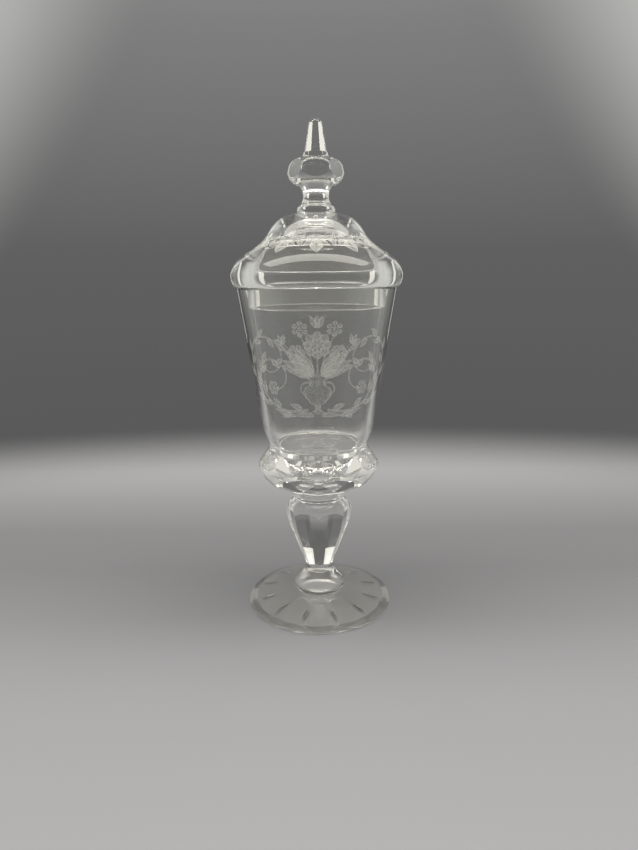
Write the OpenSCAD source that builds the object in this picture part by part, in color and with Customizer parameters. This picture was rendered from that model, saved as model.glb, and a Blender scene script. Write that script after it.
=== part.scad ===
// Covered goblet of clear glass: a cut foot, a faceted stem, a tall cup and a domed lid with a finial.
// Every piece is turned about the Z axis and the foot stands on z = 0. Sizes are in millimetres.

/* [Foot] */
// Diameter across the base of the foot
foot_d = 95; // [80:1:120]
// Height of the foot at its middle
foot_h = 7.5; // [5:0.5:12]
// Height of the plain edge under the cut rim
foot_edge_h = 0.7; // [0.4:0.1:1.2]
// Width of the cut rim, seen from above
foot_rim_w = 4.2; // [2:0.1:7]
// Height of the cut rim
foot_rim_h = 1.7; // [1:0.1:2.6]
// Width of the ring that the foot stands on
foot_stand_w = 1.5; // [1:0.1:4]
// Height of the hollow under the foot
foot_hollow_h = 4.2; // [2:0.1:5]
// Diameter of the flat top of the hollow
foot_hollow_d = 30; // [16:1:40]
// Number of flats cut around the rim
foot_flats = 24; // [12:1:36]
// Number of olive cuts on the upper face
olive_count = 12; // [6:1:14]
// Length of an olive cut
olive_l = 11; // [7:0.5:13]
// Width of an olive cut
olive_w = 3.6; // [2.5:0.1:4.5]
// Depth of an olive cut
olive_depth = 0.5; // [0.3:0.05:0.7]
// Distance from the olive cuts to the cut rim
olive_gap = 3; // [1.5:0.5:5]

/* [Foot knop] */
// Diameter of the knop's plain ring
foot_knop_d = 33.4; // [28:0.2:40]
// Height of the plain ring
foot_knop_ring_h = 7.5; // [5:0.5:11]
// Height of the faceted cone above the ring
foot_knop_cone_h = 6.5; // [4:0.5:10]
// How far the ring swells past its upper and lower edges
foot_knop_swell = 1.2; // [0.6:0.1:2]

/* [Stem] */
// Diameter of the waist where the stem stands on the knop
waist_d = 17.6; // [14:0.2:21]
// Height of the plain ring at the foot of the stem
stem_base_h = 3; // [2:0.5:5]
// Height of the long lower flats
stem_taper_h = 29.5; // [22:0.5:38]
// Diameter across the corners at the knee, where the lower flats end
stem_knee_d = 40; // [34:0.5:46]
// Height of the upper flats
stem_belly_h = 9.5; // [6:0.5:14]
// How far the belly swells past the knee
stem_belly_swell = 1.8; // [1:0.1:3]
// Height of the round shoulder
stem_shoulder_h = 8.5; // [6:0.5:12]
// Number of flats around the stem and the knop under it
stem_flats = 8; // [6:1:12]

/* [Stem collar] */
// Diameter of the necks above and below the collar
neck_d = 31.4; // [26:0.2:36]
// How far the collar swells past the necks
stem_collar_swell = 1.2; // [0.6:0.1:2.5]
// Height of the collar
stem_collar_h = 5.5; // [3.5:0.5:9]

/* [Calyx] */
// Largest diameter of the calyx before it is cut
calyx_d = 78; // [72:0.2:90]
// Height of the cone under the calyx
calyx_cone_h = 6.5; // [4:0.5:10]
// How far the cone's outer edge lies inside the widest place
calyx_cone_inset = 8.8; // [6:0.2:12]
// Height of the belly from the cone to the widest place
calyx_belly_h = 9.5; // [7:0.5:13]
// Height of the shoulder above the widest place
calyx_shoulder_h = 8.5; // [6:0.5:12]
// How far the shoulder's upper edge lies inside the widest place
calyx_shoulder_inset = 3; // [2:0.1:5]
// Height of the slope between the shoulder and the lip
calyx_slope_h = 4.2; // [3:0.1:6]
// How far the lip lies inside the widest place
calyx_lip_inset = 6; // [5:0.1:9]
// Width of the lip's flat edge
calyx_lip_w = 1.8; // [0.5:0.1:3]
// Depth of the dish inside the lip
calyx_dish_depth = 2.7; // [0.6:0.1:4]
// Number of flats in each row around the calyx
calyx_flats = 12; // [8:1:16]

/* [Bowl] */
// Outer diameter of the rim
bowl_rim_d = 97; // [88:0.5:110]
// How far the outside draws in from the rim to the rounded bottom
bowl_taper = 13.1; // [9:0.1:17]
// Diameter of the bottom that stands in the calyx
bowl_seat_d = 53; // [40:0.5:58]
// Height of the rounded bottom
bowl_round_h = 19; // [14:0.5:24]
// Slope of the rounded bottom where it leaves the calyx
bowl_round_slope = 50; // [25:1:60]
// Height of the straight wall
bowl_wall_h = 84; // [60:1:110]
// Thickness of the wall
bowl_wall = 4; // [2.5:0.1:5.5]
// Thickness of the floor
bowl_floor = 5.5; // [2.5:0.1:8]
// Diameter at which the inside wall would meet the floor in a sharp corner
bowl_corner_d = 51.6; // [46:0.2:54]
// How far the rounding of that corner reaches
bowl_corner_round = 2.5; // [1:0.1:5]
// How far the inside wall runs on straight below the top of the rounded bottom
bowl_inside_run = 6; // [3:0.5:9]
// Radius of the edges of the rim
rim_edge_r = 0.8; // [0.4:0.1:1.2]

/* [Lid] */
// How far the lid's rolled rim stands past the bowl
lid_overhang = 3.5; // [2:0.1:6]
// Height of the rolled rim up to its widest place
lid_roll_h = 7; // [5:0.5:10]
// Height from the widest place to where the rim turns into the flare
lid_rim_h = 13.6; // [11:0.2:17]
// How far the rim draws in before the flare
lid_rim_inset = 11.5; // [9:0.1:14]
// Height of the flare
lid_flare_h = 8; // [6:0.2:11]
// How far the flare draws in to the lid's waist
lid_flare_inset = 10.1; // [8:0.1:12]
// Slope of the lid where the rim turns into the flare
lid_flare_slope = 28; // [20:1:34]
// Slope of the lid at its waist
lid_waist_slope = 61; // [54:1:75]
// Height of the dome above the waist
lid_dome_h = 13.4; // [11:0.2:18]
// Thickness of the dome
lid_wall = 3.4; // [2.4:0.1:4.4]

/* [Lid flange] */
// How deep the flange reaches into the bowl
flange_depth = 12; // [8:0.5:18]
// Thickness of the flange
flange_wall = 3.5; // [2.5:0.1:4.5]
// Radius of the flange's lower edges
flange_edge_r = 1; // [0.5:0.1:1.2]
// Room between the flange and the bowl
flange_clearance = 0.6; // [0.4:0.1:1.2]

/* [Finial] */
// Diameter of the lid's top where the finial's collar sits
finial_seat_d = 22; // [18:0.2:26]
// Height of the collar
lid_collar_h = 5; // [3:0.2:7]
// How far the collar swells past the mean of its two ends
lid_collar_swell = 1.2; // [0.6:0.1:2]
// Diameter of the finial's neck where it stands on the collar
finial_base_d = 18; // [15:0.2:21]
// Diameter of the neck at its narrowest
finial_neck_d = 15; // [12:0.2:17]
// Height of the neck
finial_neck_h = 10.8; // [8:0.2:15]
// Diameter of the neck where the knop begins
finial_neck_top_d = 20; // [17:0.2:23]
// Diameter of the finial's knop before it is cut
finial_knop_d = 33; // [28:0.2:38]
// Height of the knop
finial_knop_h = 14.5; // [11:0.5:18]
// Number of flats around the knop
finial_flats = 6; // [5:1:10]
// Upward lean of the knop's flats
finial_flat_lean = 12; // [4:1:20]

/* [Spire] */
// Diameter of the spire's base
spire_d = 16; // [13:0.2:18]
// Height of the flared root of the spire
spire_root_h = 3; // [2:0.2:5]
// How far the root draws in
spire_root_inset = 1; // [0.5:0.1:1.5]
// Height of the shaft from the root to the rounded tip
spire_shaft_h = 13.4; // [10:0.2:18]
// How far the shaft draws in
spire_shaft_inset = 2.4; // [1.5:0.1:3]
// Height of the rounded tip
spire_tip_h = 4.8; // [3.5:0.1:7]
// Number of flats around the spire
spire_flats = 8; // [6:1:12]

/* [Hidden] */
$fn = 96;
GLASS = [0.82, 0.86, 0.84, 0.55];
// Steps along each curved stretch of an outline
CURVE_STEPS = 7;
// How far a curve is pulled into its corner, where 0.55 is close to a circle
ROUND_PULL = 0.55;
// The same for a fuller curve
FULL_PULL = 0.7;
// Share of its handles' reach that a symmetric curve gains at its middle
MIDDLE_GAIN = 0.75;
// Width and depth of the blocks that grind the flats
GRINDER = 60;
// How far a grinding block reaches past the ends of its flat
RUN_OUT = 7;
// How far the corners between flats lie inside the turned outline
FLAT_OVERLAP = 0.15;
// The front of the goblet, where the stem shows an edge
FRONT = -90;

// Heights at which the pieces meet
foot_knop_z = foot_h;
foot_knop_h = foot_knop_ring_h + foot_knop_cone_h;
stem_z = foot_knop_z + foot_knop_h;
stem_knee_h = stem_base_h + stem_taper_h;
stem_belly_top_h = stem_knee_h + stem_belly_h;
stem_h = stem_belly_top_h + stem_shoulder_h;
stem_collar_z = stem_z + stem_h;
calyx_z = stem_collar_z + stem_collar_h;
calyx_wide_h = calyx_cone_h + calyx_belly_h;
calyx_shoulder_top_h = calyx_wide_h + calyx_shoulder_h;
calyx_h = calyx_shoulder_top_h + calyx_slope_h;
bowl_z = calyx_z + calyx_h - calyx_dish_depth;
bowl_h = bowl_round_h + bowl_wall_h;
lid_z = bowl_z + bowl_h;
lid_rim_top_h = lid_roll_h + lid_rim_h;
lid_waist_h = lid_rim_top_h + lid_flare_h;
lid_h = lid_waist_h + lid_dome_h;
lid_collar_z = lid_z + lid_h;
finial_z = lid_collar_z + lid_collar_h;
spire_z = finial_z + finial_neck_h + finial_knop_h;

// Radii that several outlines share
foot_r = foot_d / 2;
foot_upper_r = foot_r - foot_rim_w;
foot_seat_r = foot_knop_d / 2;
waist_r = waist_d / 2;
neck_r = neck_d / 2;
bowl_rim_r = bowl_rim_d / 2;
bowl_seat_r = bowl_seat_d / 2;
bowl_draw = bowl_taper / bowl_wall_h;
flange_r = bowl_rim_r - bowl_wall - bowl_draw * flange_depth - flange_clearance;
flange_in_r = flange_r - flange_wall;
spire_r = spire_d / 2;

// The middle of a flat at the [radius, height] point p of an outline, deep enough to meet its neighbours
function flat_point(p, flats) = [(p.x - FLAT_OVERLAP) * cos(180 / flats), p.y];

// Points of a cubic curve after its start a, towards d, pulled by the handles b and c
function cubic(a, b, c, d) = [
    for (i = [1 : CURVE_STEPS])
        let (t = i / CURVE_STEPS, s = 1 - t)
            s * s * s * a + 3 * s * s * t * b + 3 * s * t * t * c + t * t * t * d
];

// A curved stretch that leaves a towards a corner and arrives at b from that corner
function bend(a, corner, b, pull = ROUND_PULL) =
    cubic(a, a + pull * (corner - a), b + pull * (corner - b), b);

// A curved stretch from a to b that passes the given radius halfway, as on a neck or a swelling ring
function swell(a, b, middle_r) =
    let (handle_r = (middle_r - (1 - MIDDLE_GAIN) * (a.x + b.x) / 2) / MIDDLE_GAIN)
        cubic(a, [handle_r, a.y + (b.y - a.y) / 3], [handle_r, b.y - (b.y - a.y) / 3], b);

// Where the line through p along u crosses the line through q along v
function crossing(p, u, q, v) =
    p + u * ((q.x - p.x) * v.y - (q.y - p.y) * v.x) / (u.x * v.y - u.y * v.x);

// A round piece turned from an outline of [radius, height] points
module turned(outline) {
    rotate_extrude()
        polygon(outline);
}

// Blocks that grind a ring of flats, each flat through two [radius, height] points at its middle.
// With turn 0 a corner between two flats faces the front, with turn 0.5 a flat does.
// Below its lower point a flat runs out for the given length, so 0 leaves a ledge there.
module flat_ring(flats, lower, upper, turn = 0, below = RUN_OUT) {
    lean = atan2(upper.x - lower.x, upper.y - lower.y);
    for (i = [0 : flats - 1])
        rotate([0, 0, FRONT + (i + turn + 0.5) * 360 / flats])
            translate([lower.x, 0, lower.y])
                rotate([0, lean, 0])
                    translate([0, -GRINDER / 2, -below])
                        cube([GRINDER, GRINDER, below + norm(upper - lower) + RUN_OUT]);
}

// Thin conical foot that stands on its rim, with a rim cut in flats and a ring of olive cuts
module foot() {
    rim_low = [foot_r, foot_edge_h];
    rim_top = [foot_upper_r, foot_edge_h + foot_rim_h];
    seat = [foot_seat_r, foot_h];
    climb = (seat.y - rim_top.y) / (rim_top.x - seat.x);
    olive_r = foot_upper_r - olive_gap - olive_l / 2;
    olive_h = rim_top.y + climb * (foot_upper_r - olive_r);
    // The wheel whose round edge leaves an olive of this length, width and depth
    wheel_r = olive_l * olive_l / (8 * olive_depth);
    wheel_edge_r = olive_w * olive_w / (8 * olive_depth);
    color(GLASS)
        difference() {
            turned([
                [0, foot_hollow_h], [foot_hollow_d / 2, foot_hollow_h], [foot_r - foot_stand_w, 0],
                [foot_r, 0], rim_low, rim_top, seat, [0, foot_h]
            ]);
            flat_ring(foot_flats, flat_point(rim_low, foot_flats), flat_point(rim_top, foot_flats));
            for (i = [0 : olive_count - 1])
                rotate([0, 0, FRONT + (i + 0.5) * 360 / olive_count])
                    translate([olive_r, 0, olive_h + wheel_r - olive_depth])
                        rotate([90, 0, 0])
                            rotate_extrude()
                                translate([wheel_r - wheel_edge_r, 0])
                                    circle(wheel_edge_r);
        }
}

// Button under the stem: a plain ring with a faceted cone on it
module foot_knop() {
    edge_r = foot_seat_r - foot_knop_swell;
    low = [edge_r, 0];
    ring_top = [edge_r, foot_knop_ring_h];
    cone_top = [waist_r, foot_knop_h];
    color(GLASS)
        translate([0, 0, foot_knop_z])
            difference() {
                turned(concat([[0, 0], low], swell(low, ring_top, foot_seat_r), [cone_top, [0, foot_knop_h]]));
                flat_ring(stem_flats, flat_point(ring_top, stem_flats), flat_point(cone_top, stem_flats));
            }
}

// Baluster stem with long flats below, short flats above and a round shoulder
module stem() {
    low = [waist_r, stem_base_h];
    knee = [stem_knee_d / 2, stem_knee_h];
    belly = [knee.x + stem_belly_swell, stem_belly_top_h];
    neck = [neck_r, stem_h];
    color(GLASS)
        translate([0, 0, stem_z])
            difference() {
                turned(concat(
                    [[0, 0], [waist_r, 0], low, knee],
                    bend(knee, [belly.x, (knee.y + belly.y) / 2], belly),
                    bend(belly, [belly.x, belly.y + stem_shoulder_h / 2], neck),
                    [[0, stem_h]]
                ));
                flat_ring(stem_flats, flat_point(low, stem_flats), flat_point(knee, stem_flats), below = 0);
                flat_ring(stem_flats, flat_point(knee, stem_flats), flat_point(belly, stem_flats));
            }
}

// Round collar between the stem and the calyx
module stem_collar() {
    low = [neck_r, 0];
    high = [neck_r, stem_collar_h];
    color(GLASS)
        translate([0, 0, stem_collar_z])
            turned(concat([[0, 0], low], swell(low, high, neck_r + stem_collar_swell), [[0, stem_collar_h]]));
}

// Bulging calyx cut with four rows of flats, with a shallow dish that carries the bowl
module calyx() {
    wide = [calyx_d / 2, calyx_wide_h];
    neck = [neck_r, 0];
    cone = [wide.x - calyx_cone_inset, calyx_cone_h];
    shoulder = [wide.x - calyx_shoulder_inset, calyx_shoulder_top_h];
    lip = [wide.x - calyx_lip_inset, calyx_h];
    dish_h = calyx_h - calyx_dish_depth;
    belly = bend(cone, crossing(cone, cone - neck, wide, [0, 1]), wide);
    upper = bend(wide, crossing(shoulder, lip - shoulder, wide, [0, 1]), shoulder);
    third = round(CURVE_STEPS / 3);
    color(GLASS)
        translate([0, 0, calyx_z])
            difference() {
                turned(concat(
                    [[0, 0], neck, cone], belly, upper,
                    [lip, lip - [calyx_lip_w, 0], [bowl_seat_r, dish_h], [0, dish_h]]
                ));
                flat_ring(calyx_flats, neck, flat_point(cone, calyx_flats));
                flat_ring(calyx_flats, flat_point(belly[third], calyx_flats),
                    flat_point(belly[2 * third], calyx_flats), 0.5);
                flat_ring(calyx_flats, flat_point(belly[2 * third], calyx_flats),
                    flat_point(belly[CURVE_STEPS - 2], calyx_flats));
                flat_ring(calyx_flats, flat_point(shoulder, calyx_flats), flat_point(lip, calyx_flats), 0.5);
            }
}

// Tall cup with a thick rounded bottom
module bowl() {
    seat = [bowl_seat_r, 0];
    low = [bowl_rim_r - bowl_taper, bowl_round_h];
    rim = [bowl_rim_r, bowl_h];
    wall_run = [bowl_draw, 1];
    wall = [bowl_wall, 0];
    edge_in = [rim_edge_r, 0];
    edge_down = rim_edge_r * wall_run;
    in_low = low - wall;
    in_rim = rim - wall;
    in_bend = in_low - bowl_inside_run * wall_run;
    corner = [bowl_corner_d / 2, bowl_floor];
    corner_top = corner + bowl_corner_round * (in_bend - corner) / norm(in_bend - corner);
    corner_foot = corner - [bowl_corner_round, 0];
    seat_run = [cos(bowl_round_slope), sin(bowl_round_slope)];
    color(GLASS)
        translate([0, 0, bowl_z])
            turned(concat(
                [[0, 0], seat],
                bend(seat, crossing(seat, seat_run, low, wall_run), low),
                [rim - edge_down],
                bend(rim - edge_down, rim, rim - edge_in),
                [in_rim + edge_in],
                bend(in_rim + edge_in, in_rim, in_rim - edge_down),
                [in_low],
                bend(in_low, in_bend, corner_top),
                bend(corner_top, corner, corner_foot),
                [[0, bowl_floor]]
            ));
}

// Domed lid with a heavy rolled rim that rests on the bowl
module lid() {
    roll = [bowl_rim_r + lid_overhang, lid_roll_h];
    flare = [roll.x - lid_rim_inset, lid_rim_top_h];
    waist = [flare.x - lid_flare_inset, lid_waist_h];
    top = [finial_seat_d / 2, lid_h];
    flare_run = [-cos(lid_flare_slope), sin(lid_flare_slope)];
    waist_run = [-cos(lid_waist_slope), sin(lid_waist_slope)];
    flare_in = flare - lid_wall * [sin(lid_flare_slope), cos(lid_flare_slope)];
    waist_in = waist - lid_wall * [sin(lid_waist_slope), cos(lid_waist_slope)];
    top_in = [0, lid_h - lid_wall];
    mouth = [flange_in_r, 0];
    wall_in = [flange_in_r, lid_roll_h];
    color(GLASS)
        translate([0, 0, lid_z])
            turned(concat(
                [mouth, [bowl_rim_r, 0]],
                bend([bowl_rim_r, 0], [roll.x, 0], roll),
                bend(roll, crossing(roll, [0, 1], flare, flare_run), flare),
                bend(flare, crossing(flare, flare_run, waist, waist_run), waist),
                bend(waist, crossing(waist, waist_run, top, [1, 0]), top, FULL_PULL),
                [[0, lid_h], top_in],
                bend(top_in, crossing(waist_in, waist_run, top_in, [1, 0]), waist_in, FULL_PULL),
                bend(waist_in, crossing(wall_in, [0, 1], flare_in, flare_run), wall_in)
            ));
}

// Ring under the lid that keeps it centred in the bowl
module lid_flange() {
    in_low = [flange_in_r, 0];
    out_low = [flange_r, 0];
    across = [flange_edge_r, 0];
    up = [0, flange_edge_r];
    color(GLASS)
        translate([0, 0, lid_z - flange_depth])
            turned(concat(
                [in_low + up],
                bend(in_low + up, in_low, in_low + across),
                [out_low - across],
                bend(out_low - across, out_low, out_low + up),
                [[flange_r, flange_depth], [flange_in_r, flange_depth]]
            ));
}

// Round collar between the lid and its finial
module lid_collar() {
    low = [finial_seat_d / 2, 0];
    high = [finial_base_d / 2, lid_collar_h];
    color(GLASS)
        translate([0, 0, lid_collar_z])
            turned(concat(
                [[0, 0], low],
                swell(low, high, (low.x + high.x) / 2 + lid_collar_swell),
                [[0, lid_collar_h]]
            ));
}

// Finial with a drawn-in neck and a flattened knop cut with large leaning flats
module finial_knop() {
    base = [finial_base_d / 2, 0];
    neck_top = [finial_neck_top_d / 2, finial_neck_h];
    wide = [finial_knop_d / 2, finial_neck_h + finial_knop_h / 2];
    knop_top = [spire_r, finial_neck_h + finial_knop_h];
    flat_run = [-sin(finial_flat_lean), cos(finial_flat_lean)];
    color(GLASS)
        translate([0, 0, finial_z])
            difference() {
                turned(concat(
                    [[0, 0], base],
                    swell(base, neck_top, finial_neck_d / 2),
                    bend(neck_top, [wide.x, neck_top.y], wide),
                    bend(wide, [wide.x, knop_top.y], knop_top),
                    [[0, knop_top.y]]
                ));
                flat_ring(finial_flats, flat_point(wide, finial_flats),
                    flat_point(wide, finial_flats) + flat_run, 0.5);
            }
}

// Slender faceted point with a flared root and a rounded tip
module finial_spire() {
    root = [spire_r - spire_root_inset, spire_root_h];
    tip = [root.x - spire_shaft_inset, root.y + spire_shaft_h];
    top = [0, tip.y + spire_tip_h];
    color(GLASS)
        translate([0, 0, spire_z])
            difference() {
                turned(concat(
                    [[0, 0], [spire_r, 0], root, tip],
                    bend(tip, crossing(root, tip - root, top, [1, 0]), top, FULL_PULL)
                ));
                flat_ring(spire_flats, flat_point(root, spire_flats), flat_point(tip, spire_flats), 0.5, 0);
            }
}

foot();
foot_knop();
stem();
stem_collar();
calyx();
bowl();
lid();
lid_flange();
lid_collar();
finial_knop();
finial_spire();
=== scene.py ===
# %% [markdown]
# # A covered goblet of cut and engraved glass
# A covered goblet has two loose pieces, the goblet and its lid. A glassmaker builds each from separate gathers of
# hot glass that melt together where they meet: foot, knop, stem, collar, calyx and bowl, then flange, dome, collar
# and finial. When the glass is cold, flats are ground into it on a wheel, and a matte picture is engraved on the
# bowl. This lesson follows the same order: every gather is turned as its own closed piece, then ground, and the
# engraving comes last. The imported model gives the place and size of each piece.

# %% Load the frame
import math

import bpy
from mathutils import Matrix, Vector


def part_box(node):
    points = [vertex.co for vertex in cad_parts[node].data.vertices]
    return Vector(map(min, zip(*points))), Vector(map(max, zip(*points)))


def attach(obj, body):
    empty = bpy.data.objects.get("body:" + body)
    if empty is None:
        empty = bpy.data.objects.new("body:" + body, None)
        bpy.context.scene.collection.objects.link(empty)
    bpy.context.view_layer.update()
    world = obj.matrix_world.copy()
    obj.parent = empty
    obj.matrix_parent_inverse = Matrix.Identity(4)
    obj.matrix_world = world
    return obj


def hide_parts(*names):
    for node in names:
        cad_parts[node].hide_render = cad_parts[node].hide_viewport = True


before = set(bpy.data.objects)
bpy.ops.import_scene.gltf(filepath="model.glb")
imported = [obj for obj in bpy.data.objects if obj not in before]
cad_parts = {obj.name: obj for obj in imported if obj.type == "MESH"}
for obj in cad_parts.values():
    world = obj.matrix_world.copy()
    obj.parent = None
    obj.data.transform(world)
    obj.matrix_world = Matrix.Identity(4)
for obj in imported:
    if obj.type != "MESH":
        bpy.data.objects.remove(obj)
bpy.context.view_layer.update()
MM = 0.001

# %% [markdown]
# ## Camera
# The picture is taken from slightly above the rim, from close by. The foot shows as a wide ellipse and the rim of
# the lid as a flat one, which fixes the height, the distance and the focal length. The camera leans by half a
# degree, as a hand-held one does.

# %% Camera at the picture's viewing angle
PICTURE_H = 850
FOCAL_PX = 598.3
SENSOR_MM = 36.0
CAMERA_PLACE = Vector((0.6, -372.2, 211.7)) * MM
CAMERA_PITCH = math.radians(13.79)
CAMERA_LEAN = math.radians(-0.5)

camera_data = bpy.data.cameras.new("camera")
camera_data.sensor_fit = "VERTICAL"
camera_data.sensor_height = SENSOR_MM
camera_data.lens = FOCAL_PX / PICTURE_H * SENSOR_MM
camera_data.clip_start = 0.01
camera = bpy.data.objects.new("camera", camera_data)
bpy.context.scene.collection.objects.link(camera)
look_ahead = Matrix.Rotation(math.pi / 2 - CAMERA_PITCH, 4, "X")
camera.matrix_world = Matrix.Translation(CAMERA_PLACE) @ look_ahead @ Matrix.Rotation(CAMERA_LEAN, 4, "Z")
bpy.context.scene.camera = camera
print("lens in mm:", round(camera_data.lens, 2))

# %% [markdown]
# ## Colours and nodes
# Colours are written as the hex values that a colour picker shows. Blender's sockets want linear light, so one
# function converts them. A second small function adds a node, fills its sockets and links it to others.

# %% Two helpers for materials
def linear(hex_colour):
    channels = [int(hex_colour[i:i + 2], 16) / 255 for i in (1, 3, 5)]
    return [c / 12.92 if c <= 0.04045 else ((c + 0.055) / 1.055) ** 2.4 for c in channels] + [1.0]


def add_node(tree, kind, settings=None, **sockets):
    node = tree.nodes.new(kind)
    for name, value in (settings or {}).items():
        setattr(node, name, value)
    for name, value in sockets.items():
        socket = node.inputs[int(name[1:])] if name[1:].isdigit() else node.inputs[name.replace("_", " ")]
        if isinstance(value, bpy.types.NodeSocket):
            tree.links.new(value, socket)
        else:
            socket.default_value = value
    return node


def new_material(name):
    material = bpy.data.materials.new(name)
    material.use_nodes = True
    material.node_tree.nodes.clear()
    return material, material.node_tree


def set_ramp(ramp, stops):
    while len(ramp.elements) < len(stops):
        ramp.elements.new(1.0)
    for element, (place, hex_colour) in zip(ramp.elements, stops):
        element.position = place
        element.color = linear(hex_colour)


# %% [markdown]
# ## The studio
# Clear glass has no colour of its own. It shows what stands around it, so the studio comes before the glass. The
# goblet stands on a pale sheet that sinks into a darker room, and the room grows lighter again overhead. The sheet
# is a wide oval that fades out at its edge, so it has no end that the glass could show. Its colour holds painted
# shade, a little darker around the goblet where its shadow falls, and painted light in front and at the far end.

# %% Pale floor
FLOOR_R = 1100 * MM
FLOOR_GAP = 0.3 * MM
FLOOR_SIDES = 128
FADE_FROM, FADE_TO = 250 * MM, 500 * MM
OVAL = (0.5, 1, 1)
PAINTED_LIGHT_FRONT, PAINTED_LIGHT_BACK = -200 * MM, 280 * MM
PAPER_ROUGH, PAPER_SHINE = 0.85, 0.2
SOFT = {"interpolation_type": "SMOOTHSTEP"}

bpy.ops.object.select_all(action="DESELECT")
bpy.ops.mesh.primitive_circle_add(
    vertices=FLOOR_SIDES, radius=FLOOR_R, fill_type="NGON", location=(0, 0, -FLOOR_GAP))
floor = bpy.context.object
floor.name = "floor"
# Uncoated paper: matte, with hardly any shine, so the goblet is not mirrored in it.
paper, tree = new_material("floor_paper_with_painted_light")
place = add_node(tree, "ShaderNodeTexCoord")
oval = add_node(tree, "ShaderNodeVectorMath", {"operation": "MULTIPLY"}, _0=place.outputs["Object"], _1=OVAL)
distance = add_node(tree, "ShaderNodeVectorMath", {"operation": "LENGTH"}, _0=oval.outputs["Vector"])
edge_fade = add_node(
    tree, "ShaderNodeMapRange", SOFT, Value=distance.outputs["Value"], From_Min=FADE_FROM, From_Max=FADE_TO,
    To_Min=1.0, To_Max=0.0)
depth = add_node(tree, "ShaderNodeSeparateXYZ", Vector=place.outputs["Object"])
# Painted light and shade: from front to back the paper's colour is darker around the goblet, where its shadow falls,
# and lighter in front and at the far end, where more light falls.
painted_light_span = add_node(
    tree, "ShaderNodeMapRange", Value=depth.outputs["Y"], From_Min=PAINTED_LIGHT_FRONT, From_Max=PAINTED_LIGHT_BACK)
painted_light_and_shade = add_node(tree, "ShaderNodeValToRGB", Fac=painted_light_span.outputs["Result"])
set_ramp(painted_light_and_shade.color_ramp, [
    (0.0, "#B1B1B7"), (0.2, "#A7A7AD"), (0.28, "#A1A1A7"), (0.36, "#97979C"), (0.5, "#8A8A8F"), (0.64, "#8B8B90"),
    (0.8, "#9D9DA2"), (1.0, "#B2B2B7")])
sheet = add_node(
    tree, "ShaderNodeBsdfPrincipled", Base_Color=painted_light_and_shade.outputs["Color"], Roughness=PAPER_ROUGH,
    Alpha=edge_fade.outputs["Result"], Specular_IOR_Level=PAPER_SHINE)
add_node(tree, "ShaderNodeOutputMaterial", Surface=sheet.outputs["BSDF"])
floor.data.materials.append(paper)
print("floor radius in mm:", FLOOR_R / MM)

# %% [markdown]
# The room could be built from walls, but glass needs only their tones, so the world paints them by direction. A dark
# grey wall stands behind the goblet and grows lighter upwards. The side walls are pale, so the picture's upper
# corners brighten, and a light ceiling lies overhead that darkens towards the back. Camera and glass see the same
# room.

# %% Grey room
ROOM_WHITE = "#FFFCF2"
SIDE_WALL, FRONT_WALL = "#C8C8C4", "#A8A7A0"
SIDE_FROM, SIDE_TO, SIDE_RISE = 0.46, 0.75, 0.7
FRONT_FROM, FRONT_TO = -0.34, -0.77
CEILING, CEILING_BACK = "#E6E4DC", "#8C8C8A"
CEILING_FROM, CEILING_TO = 0.32, 0.52
BACK_FROM, BACK_TO = 0.1, 0.5
COLOUR_MIX = {"data_type": "RGBA"}

world = bpy.data.worlds.new("grey_room")
bpy.context.scene.world = world
world.use_nodes = True
tree = world.node_tree
tree.nodes.clear()
direction = add_node(tree, "ShaderNodeTexCoord")
parts = add_node(tree, "ShaderNodeSeparateXYZ", Vector=direction.outputs["Generated"])
span = add_node(tree, "ShaderNodeMapRange", Value=parts.outputs["Z"], From_Min=-1.0, From_Max=1.0)
back_wall = add_node(tree, "ShaderNodeValToRGB", Fac=span.outputs["Result"])
set_ramp(back_wall.color_ramp, [(0.40, "#5A5A5A"), (0.52, "#606060"), (0.68, "#808080")])

aside = add_node(tree, "ShaderNodeMath", {"operation": "ABSOLUTE"}, _0=parts.outputs["X"])
outward = add_node(
    tree, "ShaderNodeMath", {"operation": "MULTIPLY_ADD"}, _0=parts.outputs["Z"], _1=SIDE_RISE,
    _2=aside.outputs["Value"])
to_side = add_node(
    tree, "ShaderNodeMapRange", SOFT, Value=outward.outputs["Value"], From_Min=SIDE_FROM, From_Max=SIDE_TO)
side_walls = add_node(
    tree, "ShaderNodeMix", COLOUR_MIX, _0=to_side.outputs["Result"], _6=back_wall.outputs["Color"],
    _7=linear(SIDE_WALL))
to_front = add_node(
    tree, "ShaderNodeMapRange", SOFT, Value=parts.outputs["Y"], From_Min=FRONT_FROM, From_Max=FRONT_TO)
walls = add_node(
    tree, "ShaderNodeMix", COLOUR_MIX, _0=to_front.outputs["Result"], _6=side_walls.outputs[2],
    _7=linear(FRONT_WALL))

to_back = add_node(
    tree, "ShaderNodeMapRange", SOFT, Value=parts.outputs["Y"], From_Min=BACK_FROM, From_Max=BACK_TO)
ceiling = add_node(
    tree, "ShaderNodeMix", COLOUR_MIX, _0=to_back.outputs["Result"], _6=linear(CEILING), _7=linear(CEILING_BACK))
overhead = add_node(
    tree, "ShaderNodeMapRange", SOFT, Value=parts.outputs["Z"], From_Min=CEILING_FROM, From_Max=CEILING_TO)
room = add_node(
    tree, "ShaderNodeMix", COLOUR_MIX, _0=overhead.outputs["Result"], _6=walls.outputs[2], _7=ceiling.outputs[2])
background = add_node(tree, "ShaderNodeBackground", Color=room.outputs[2], Strength=1.0)
add_node(tree, "ShaderNodeOutputWorld", Surface=background.outputs["Background"])
bpy.context.scene.view_settings.view_transform = "Standard"
print("room:", world.name, "nodes:", len(tree.nodes))

# %% [markdown]
# Glass shows its lamps more than its own colour. One long soft lamp hangs across the goblet: its reflections are the
# wide bright band on the shoulder of the lid, the light top of the dome and the sparkle on the cut flats. Two tall
# soft screens stand behind the goblet, left and right, and the glass bends them into the bright strips in the stem
# and the spire. All three are hidden from the camera.

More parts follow.
